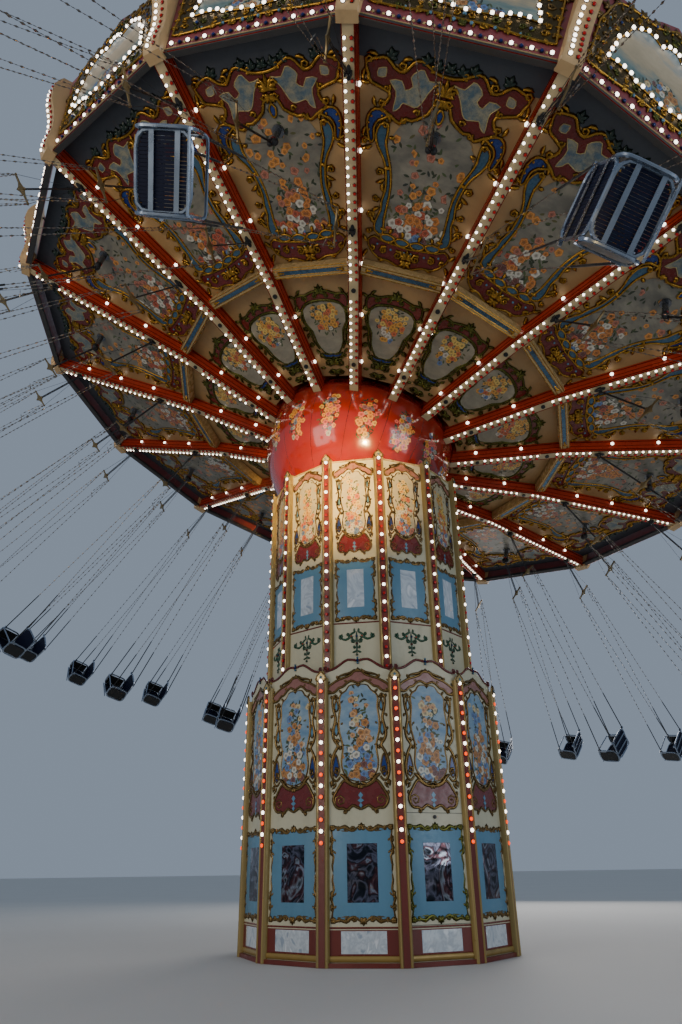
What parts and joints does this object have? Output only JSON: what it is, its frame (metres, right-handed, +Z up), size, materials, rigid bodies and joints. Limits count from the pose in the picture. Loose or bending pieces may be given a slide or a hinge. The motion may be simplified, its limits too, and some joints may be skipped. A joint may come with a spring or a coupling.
{
  "type": "chair swing ride",
  "caption": "Chair swing ride: a telescoping panelled tower lifts a leaning, turning crown of ribs from which chairs on chains swing out.",
  "frame": {"origin": "on the ground at the middle of the tower", "axes": "+Z up along the tower, -Y towards the viewer of the picture, +X to the viewer's right"},
  "size_m": [21.3736, 21.4409, 12.2015],
  "materials": {
    "frame_steel": "dark grey paint",
    "mast_steel": "grey paint, greased where it slides",
    "panel_paint": "cream satin paint with scroll ornament",
    "post_paint": "red-brown gloss paint with gold mouldings and bulbs",
    "drum_gloss": "glossy red-orange lacquer with painted flowers",
    "rib_paint": "orange-red gloss paint, cream underside, bulbs",
    "ceiling_paint": "cream satin panels with painted scrolls",
    "roof_cover": "weathered pale laminate",
    "cornice_paint": "dark red satin paint with gilded carving",
    "swing_metal": "brushed and galvanised, with navy woven seats"
  },
  "bodies": {
    "tower": {"base_frame": "frame_steel", "lower_tower_panels": "panel_paint", "lower_tower_posts": "post_paint"},
    "lift": {"lift_mast": "mast_steel", "upper_tower_panels": "panel_paint", "upper_tower_posts": "post_paint"},
    "tilt head": {"tilt_head": "mast_steel"},
    "crown": {"hub_drum": "drum_gloss", "crown_ribs": "rib_paint", "crown_ceiling": "ceiling_paint", "crown_roof": "roof_cover", "crown_cornice": "cornice_paint"},
    "swing outer 01": {"swing_outer_01": "swing_metal"},
    "swing outer 02": {"swing_outer_02": "swing_metal"},
    "swing outer 03": {"swing_outer_03": "swing_metal"},
    "swing outer 04": {"swing_outer_04": "swing_metal"},
    "swing outer 05": {"swing_outer_05": "swing_metal"},
    "swing outer 06": {"swing_outer_06": "swing_metal"},
    "swing outer 07": {"swing_outer_07": "swing_metal"},
    "swing outer 08": {"swing_outer_08": "swing_metal"},
    "swing outer 09": {"swing_outer_09": "swing_metal"},
    "swing outer 10": {"swing_outer_10": "swing_metal"},
    "swing outer 11": {"swing_outer_11": "swing_metal"},
    "swing outer 12": {"swing_outer_12": "swing_metal"},
    "swing outer 13": {"swing_outer_13": "swing_metal"},
    "swing outer 14": {"swing_outer_14": "swing_metal"},
    "swing outer 15": {"swing_outer_15": "swing_metal"},
    "swing outer 16": {"swing_outer_16": "swing_metal"},
    "swing middle 01": {"swing_middle_01": "swing_metal"},
    "swing middle 02": {"swing_middle_02": "swing_metal"},
    "swing middle 03": {"swing_middle_03": "swing_metal"},
    "swing middle 04": {"swing_middle_04": "swing_metal"},
    "swing middle 05": {"swing_middle_05": "swing_metal"},
    "swing middle 06": {"swing_middle_06": "swing_metal"},
    "swing middle 07": {"swing_middle_07": "swing_metal"},
    "swing middle 08": {"swing_middle_08": "swing_metal"},
    "swing middle 09": {"swing_middle_09": "swing_metal"},
    "swing middle 10": {"swing_middle_10": "swing_metal"},
    "swing middle 11": {"swing_middle_11": "swing_metal"},
    "swing middle 12": {"swing_middle_12": "swing_metal"},
    "swing middle 13": {"swing_middle_13": "swing_metal"},
    "swing middle 14": {"swing_middle_14": "swing_metal"},
    "swing middle 15": {"swing_middle_15": "swing_metal"},
    "swing middle 16": {"swing_middle_16": "swing_metal"},
    "swing inner 01": {"swing_inner_01": "swing_metal"},
    "swing inner 02": {"swing_inner_02": "swing_metal"},
    "swing inner 03": {"swing_inner_03": "swing_metal"},
    "swing inner 04": {"swing_inner_04": "swing_metal"},
    "swing inner 05": {"swing_inner_05": "swing_metal"},
    "swing inner 06": {"swing_inner_06": "swing_metal"},
    "swing inner 07": {"swing_inner_07": "swing_metal"},
    "swing inner 08": {"swing_inner_08": "swing_metal"},
    "swing inner 09": {"swing_inner_09": "swing_metal"},
    "swing inner 10": {"swing_inner_10": "swing_metal"},
    "swing inner 11": {"swing_inner_11": "swing_metal"},
    "swing inner 12": {"swing_inner_12": "swing_metal"},
    "swing inner 13": {"swing_inner_13": "swing_metal"},
    "swing inner 14": {"swing_inner_14": "swing_metal"},
    "swing inner 15": {"swing_inner_15": "swing_metal"},
    "swing inner 16": {"swing_inner_16": "swing_metal"}
  },
  "joints": [
    {"name": "lift", "type": "slide", "parent": "tower", "child": "lift", "axis": [0, 0, 1], "range_m": [-2.3, 0]},
    {"name": "crown_tilt", "type": "hinge", "parent": "lift", "child": "tilt head", "pos_m": [0, 0, 7.896], "axis": [-0.4679, 0.8838, 0], "range_deg": [-15.2, 0]},
    {"name": "crown_spin", "type": "hinge", "parent": "tilt head", "child": "crown", "pos_m": [0, 0, 7.896], "axis": [0.2317, 0.1227, 0.965], "continuous": true},
    {"name": "swing_outer_01", "type": "hinge", "parent": "crown", "child": "swing outer 01", "pos_m": [-0.04747, -5.78869, 9.35293], "axis": [-0.9681, 0.1265, 0.2164], "range_deg": [-47.7, 9.55]},
    {"name": "swing_outer_02", "type": "hinge", "parent": "crown", "child": "swing outer 02", "pos_m": [2.17436, -5.48838, 8.78126], "axis": [-0.928, -0.2697, 0.2571], "range_deg": [-52.11, 10.43]},
    {"name": "swing_outer_03", "type": "hinge", "parent": "crown", "child": "swing outer 03", "pos_m": [4.08933, -4.33972, 8.17542], "axis": [-0.7391, -0.6228, 0.2566], "range_deg": [-57.08, 11.42]},
    {"name": "swing_outer_04", "type": "hinge", "parent": "crown", "child": "swing outer 04", "pos_m": [5.40588, -2.51759, 7.62764], "axis": [-0.4243, -0.8799, 0.2137], "range_deg": [-61.86, 12.38]},
    {"name": "swing_outer_05", "type": "hinge", "parent": "crown", "child": "swing outer 05", "pos_m": [5.9236, -0.29939, 7.22132], "axis": [-0.0251, -0.9909, 0.132], "range_deg": [-65.52, 13.11]},
    {"name": "swing_outer_06", "type": "hinge", "parent": "crown", "child": "swing outer 06", "pos_m": [5.56365, 1.97718, 7.01832], "axis": [0.3876, -0.9215, 0.0241], "range_deg": [-67.1, 13.42]},
    {"name": "swing_outer_07", "type": "hinge", "parent": "crown", "child": "swing outer 07", "pos_m": [4.38085, 3.96554, 7.04954], "axis": [0.7249, -0.6833, -0.0872], "range_deg": [-66.16, 13.24]},
    {"name": "swing_outer_08", "type": "hinge", "parent": "crown", "child": "swing outer 08", "pos_m": [2.55526, 5.36296, 7.31023], "axis": [0.9233, -0.3402, -0.1784], "range_deg": [-63.03, 12.61]},
    {"name": "swing_outer_09", "type": "hinge", "parent": "crown", "child": "swing outer 09", "pos_m": [0.36481, 5.95671, 7.7607], "axis": [0.971, 0.0307, -0.2371], "range_deg": [-58.67, 11.74]},
    {"name": "swing_outer_10", "type": "hinge", "parent": "crown", "child": "swing outer 10", "pos_m": [-1.85702, 5.6564, 8.33237], "axis": [0.8896, 0.3747, -0.2612], "range_deg": [-53.98, 10.8]},
    {"name": "swing_outer_11", "type": "hinge", "parent": "crown", "child": "swing outer 11", "pos_m": [-3.77198, 4.50774, 8.93822], "axis": [0.7054, 0.662, -0.2535], "range_deg": [-49.62, 9.93]},
    {"name": "swing_outer_12", "type": "hinge", "parent": "crown", "child": "swing outer 12", "pos_m": [-5.08854, 2.68561, 9.48599], "axis": [0.4387, 0.8722, -0.2162], "range_deg": [-46.01, 9.21]},
    {"name": "swing_outer_13", "type": "hinge", "parent": "crown", "child": "swing outer 13", "pos_m": [-5.60625, 0.46741, 9.89231], "axis": [0.1088, 0.9825, -0.151], "range_deg": [-43.45, 8.7]},
    {"name": "swing_outer_14", "type": "hinge", "parent": "crown", "child": "swing outer 14", "pos_m": [-5.24631, -1.80916, 10.09531], "axis": [-0.2537, 0.9653, -0.0618], "range_deg": [-42.22, 8.45]},
    {"name": "swing_outer_15", "type": "hinge", "parent": "crown", "child": "swing outer 15", "pos_m": [-4.06351, -3.79751, 10.06409], "axis": [-0.5958, 0.8021, 0.0411], "range_deg": [-42.51, 8.51]},
    {"name": "swing_outer_16", "type": "hinge", "parent": "crown", "child": "swing outer 16", "pos_m": [-2.23792, -5.19494, 9.8034], "axis": [-0.8512, 0.5057, 0.1401], "range_deg": [-44.38, 8.88]},
    {"name": "swing_middle_01", "type": "hinge", "parent": "crown", "child": "swing middle 01", "pos_m": [0.94034, -5.07881, 8.88267], "axis": [-0.9672, -0.077, 0.242], "range_deg": [-48.84, 9.78]},
    {"name": "swing_middle_02", "type": "hinge", "parent": "crown", "child": "swing middle 02", "pos_m": [2.80032, -4.42732, 8.35324], "axis": [-0.8491, -0.4586, 0.2622], "range_deg": [-53.6, 10.73]},
    {"name": "swing_middle_03", "type": "hinge", "parent": "crown", "child": "swing middle 03", "pos_m": [4.25326, -3.09161, 7.83456], "axis": [-0.5925, -0.769, 0.24], "range_deg": [-58.57, 11.72]},
    {"name": "swing_middle_04", "type": "hinge", "parent": "crown", "child": "swing middle 04", "pos_m": [5.07798, -1.275, 7.40558], "axis": [-0.2287, -0.9574, 0.1766], "range_deg": [-62.91, 12.59]},
    {"name": "swing_middle_05", "type": "hinge", "parent": "crown", "child": "swing middle 05", "pos_m": [5.14892, 0.74592, 7.13162], "axis": [0.1869, -0.9791, 0.0796], "range_deg": [-65.63, 13.13]},
    {"name": "swing_middle_06", "type": "hinge", "parent": "crown", "child": "swing middle 06", "pos_m": [4.45527, 2.66351, 7.05438], "axis": [0.571, -0.8203, -0.0328], "range_deg": [-65.95, 13.2]},
    {"name": "swing_middle_07", "type": "hinge", "parent": "crown", "child": "swing middle 07", "pos_m": [3.10265, 4.18581, 7.18563], "axis": [0.8428, -0.5208, -0.1361], "range_deg": [-63.83, 12.77]},
    {"name": "swing_middle_08", "type": "hinge", "parent": "crown", "child": "swing middle 08", "pos_m": [1.29697, 5.08108, 7.50538], "axis": [0.9647, -0.1565, -0.2117], "range_deg": [-59.97, 12]},
    {"name": "swing_middle_09", "type": "hinge", "parent": "crown", "child": "swing middle 09", "pos_m": [-0.68687, 5.21301, 7.96495], "axis": [0.9455, 0.205, -0.2531], "range_deg": [-55.35, 11.08]},
    {"name": "swing_middle_10", "type": "hinge", "parent": "crown", "child": "swing middle 10", "pos_m": [-2.54685, 4.56153, 8.49438], "axis": [0.8111, 0.5233, -0.2613], "range_deg": [-50.77, 10.16]},
    {"name": "swing_middle_11", "type": "hinge", "parent": "crown", "child": "swing middle 11", "pos_m": [-3.99979, 3.22581, 9.01307], "axis": [0.5847, 0.7752, -0.239], "range_deg": [-46.73, 9.35]},
    {"name": "swing_middle_12", "type": "hinge", "parent": "crown", "child": "swing middle 12", "pos_m": [-4.82451, 1.40921, 9.44205], "axis": [0.2841, 0.9402, -0.1878], "range_deg": [-43.6, 8.73]},
    {"name": "swing_middle_13", "type": "hinge", "parent": "crown", "child": "swing middle 13", "pos_m": [-4.89545, -0.61172, 9.71601], "axis": [-0.068, 0.9916, -0.1098], "range_deg": [-41.66, 8.34]},
    {"name": "swing_middle_14", "type": "hinge", "parent": "crown", "child": "swing middle 14", "pos_m": [-4.2018, -2.5293, 9.79325], "axis": [-0.43, 0.9028, -0.0115], "range_deg": [-41.17, 8.24]},
    {"name": "swing_middle_15", "type": "hinge", "parent": "crown", "child": "swing middle 15", "pos_m": [-2.84918, -4.0516, 9.662], "axis": [-0.7386, 0.6678, 0.0924], "range_deg": [-42.26, 8.46]},
    {"name": "swing_middle_16", "type": "hinge", "parent": "crown", "child": "swing middle 16", "pos_m": [-1.0435, -4.94687, 9.34225], "axis": [-0.9296, 0.3202, 0.1825], "range_deg": [-44.9, 8.99]},
    {"name": "swing_inner_01", "type": "hinge", "parent": "crown", "child": "swing inner 01", "pos_m": [-0.06778, -3.98193, 8.74657], "axis": [-0.9703, 0.1006, 0.2202], "range_deg": [-39.44, 7.9]},
    {"name": "swing_inner_02", "type": "hinge", "parent": "crown", "child": "swing inner 02", "pos_m": [1.45341, -3.77632, 8.35518], "axis": [-0.9175, -0.3021, 0.2587], "range_deg": [-43.91, 8.79]},
    {"name": "swing_inner_03", "type": "hinge", "parent": "crown", "child": "swing inner 03", "pos_m": [2.7645, -2.98989, 7.94038], "axis": [-0.7163, -0.6497, 0.2546], "range_deg": [-48.86, 9.78]},
    {"name": "swing_inner_04", "type": "hinge", "parent": "crown", "child": "swing inner 04", "pos_m": [3.66588, -1.74236, 7.56534], "axis": [-0.397, -0.8937, 0.2089], "range_deg": [-53.55, 10.72]},
    {"name": "swing_inner_05", "type": "hinge", "parent": "crown", "child": "swing inner 05", "pos_m": [4.02034, -0.22365, 7.28716], "axis": [-0.0035, -0.9919, 0.1269], "range_deg": [-57.11, 11.43]},
    {"name": "swing_inner_06", "type": "hinge", "parent": "crown", "child": "swing inner 06", "pos_m": [3.7739, 1.33501, 7.14817], "axis": [0.3967, -0.9177, 0.0214], "range_deg": [-58.63, 11.73]},
    {"name": "swing_inner_07", "type": "hinge", "parent": "crown", "child": "swing inner 07", "pos_m": [2.96409, 2.69634, 7.16955], "axis": [0.7231, -0.6854, -0.0865], "range_deg": [-57.71, 11.55]},
    {"name": "swing_inner_08", "type": "hinge", "parent": "crown", "child": "swing inner 08", "pos_m": [1.71419, 3.65309, 7.34803], "axis": [0.9186, -0.3541, -0.1756], "range_deg": [-54.69, 10.95]},
    {"name": "swing_inner_09", "type": "hinge", "parent": "crown", "child": "swing inner 09", "pos_m": [0.21449, 4.05961, 7.65645], "axis": [0.9722, 0.0057, -0.2342], "range_deg": [-50.42, 10.09]},
    {"name": "swing_inner_10", "type": "hinge", "parent": "crown", "child": "swing inner 10", "pos_m": [-1.3067, 3.854, 8.04785], "axis": [0.9022, 0.3438, -0.2603], "range_deg": [-45.78, 9.16]},
    {"name": "swing_inner_11", "type": "hinge", "parent": "crown", "child": "swing inner 11", "pos_m": [-2.61778, 3.06757, 8.46264], "axis": [0.7311, 0.6325, -0.256], "range_deg": [-41.41, 8.29]},
    {"name": "swing_inner_12", "type": "hinge", "parent": "crown", "child": "swing inner 12", "pos_m": [-3.51917, 1.82004, 8.83768], "axis": [0.4743, 0.8519, -0.2222], "range_deg": [-37.72, 7.55]},
    {"name": "swing_inner_13", "type": "hinge", "parent": "crown", "child": "swing inner 13", "pos_m": [-3.87362, 0.30134, 9.11586], "axis": [0.145, 0.9766, -0.159], "range_deg": [-35.07, 7.02]},
    {"name": "swing_inner_14", "type": "hinge", "parent": "crown", "child": "swing inner 14", "pos_m": [-3.62719, -1.25733, 9.25485], "axis": [-0.2292, 0.971, -0.0684], "range_deg": [-33.77, 6.76]},
    {"name": "swing_inner_15", "type": "hinge", "parent": "crown", "child": "swing inner 15", "pos_m": [-2.81738, -2.61866, 9.23347], "axis": [-0.5898, 0.8066, 0.0391], "range_deg": [-34.06, 6.82]},
    {"name": "swing_inner_16", "type": "hinge", "parent": "crown", "child": "swing inner 16", "pos_m": [-1.56748, -3.57541, 9.05499], "axis": [-0.8566, 0.4959, 0.1426], "range_deg": [-36.01, 7.21]}
  ],
  "couplings": [
    {"joint": "swing_outer_01", "follows": "swing_outer_06", "ratio": 0.71077},
    {"joint": "swing_outer_02", "follows": "swing_outer_06", "ratio": 0.77649},
    {"joint": "swing_outer_03", "follows": "swing_outer_06", "ratio": 0.85044},
    {"joint": "swing_outer_04", "follows": "swing_outer_06", "ratio": 0.92172},
    {"joint": "swing_outer_05", "follows": "swing_outer_06", "ratio": 0.97631},
    {"joint": "swing_outer_07", "follows": "swing_outer_06", "ratio": 0.98579},
    {"joint": "swing_outer_08", "follows": "swing_outer_06", "ratio": 0.93921},
    {"joint": "swing_outer_09", "follows": "swing_outer_06", "ratio": 0.87414},
    {"joint": "swing_outer_10", "follows": "swing_outer_06", "ratio": 0.80433},
    {"joint": "swing_outer_11", "follows": "swing_outer_06", "ratio": 0.73939},
    {"joint": "swing_outer_12", "follows": "swing_outer_06", "ratio": 0.68554},
    {"joint": "swing_outer_13", "follows": "swing_outer_06", "ratio": 0.64741},
    {"joint": "swing_outer_14", "follows": "swing_outer_06", "ratio": 0.62901},
    {"joint": "swing_outer_15", "follows": "swing_outer_06", "ratio": 0.63332},
    {"joint": "swing_outer_16", "follows": "swing_outer_06", "ratio": 0.66128},
    {"joint": "swing_middle_01", "follows": "swing_outer_06", "ratio": 0.72763},
    {"joint": "swing_middle_02", "follows": "swing_outer_06", "ratio": 0.79868},
    {"joint": "swing_middle_03", "follows": "swing_outer_06", "ratio": 0.87276},
    {"joint": "swing_middle_04", "follows": "swing_outer_06", "ratio": 0.93739},
    {"joint": "swing_middle_05", "follows": "swing_outer_06", "ratio": 0.97789},
    {"joint": "swing_middle_06", "follows": "swing_outer_06", "ratio": 0.98272},
    {"joint": "swing_middle_07", "follows": "swing_outer_06", "ratio": 0.95104},
    {"joint": "swing_middle_08", "follows": "swing_outer_06", "ratio": 0.89352},
    {"joint": "swing_middle_09", "follows": "swing_outer_06", "ratio": 0.82473},
    {"joint": "swing_middle_10", "follows": "swing_outer_06", "ratio": 0.75643},
    {"joint": "swing_middle_11", "follows": "swing_outer_06", "ratio": 0.6963},
    {"joint": "swing_middle_12", "follows": "swing_outer_06", "ratio": 0.64961},
    {"joint": "swing_middle_13", "follows": "swing_outer_06", "ratio": 0.62074},
    {"joint": "swing_middle_14", "follows": "swing_outer_06", "ratio": 0.61337},
    {"joint": "swing_middle_15", "follows": "swing_outer_06", "ratio": 0.62965},
    {"joint": "swing_middle_16", "follows": "swing_outer_06", "ratio": 0.66902},
    {"joint": "swing_inner_01", "follows": "swing_outer_06", "ratio": 0.58757},
    {"joint": "swing_inner_02", "follows": "swing_outer_06", "ratio": 0.65425},
    {"joint": "swing_inner_03", "follows": "swing_outer_06", "ratio": 0.72799},
    {"joint": "swing_inner_04", "follows": "swing_outer_06", "ratio": 0.79795},
    {"joint": "swing_inner_05", "follows": "swing_outer_06", "ratio": 0.85087},
    {"joint": "swing_inner_06", "follows": "swing_outer_06", "ratio": 0.87364},
    {"joint": "swing_inner_07", "follows": "swing_outer_06", "ratio": 0.8599},
    {"joint": "swing_inner_08", "follows": "swing_outer_06", "ratio": 0.81481},
    {"joint": "swing_inner_09", "follows": "swing_outer_06", "ratio": 0.75122},
    {"joint": "swing_inner_10", "follows": "swing_outer_06", "ratio": 0.68212},
    {"joint": "swing_inner_11", "follows": "swing_outer_06", "ratio": 0.61691},
    {"joint": "swing_inner_12", "follows": "swing_outer_06", "ratio": 0.56199},
    {"joint": "swing_inner_13", "follows": "swing_outer_06", "ratio": 0.52251},
    {"joint": "swing_inner_14", "follows": "swing_outer_06", "ratio": 0.50314},
    {"joint": "swing_inner_15", "follows": "swing_outer_06", "ratio": 0.50748},
    {"joint": "swing_inner_16", "follows": "swing_outer_06", "ratio": 0.53656}
  ]
}
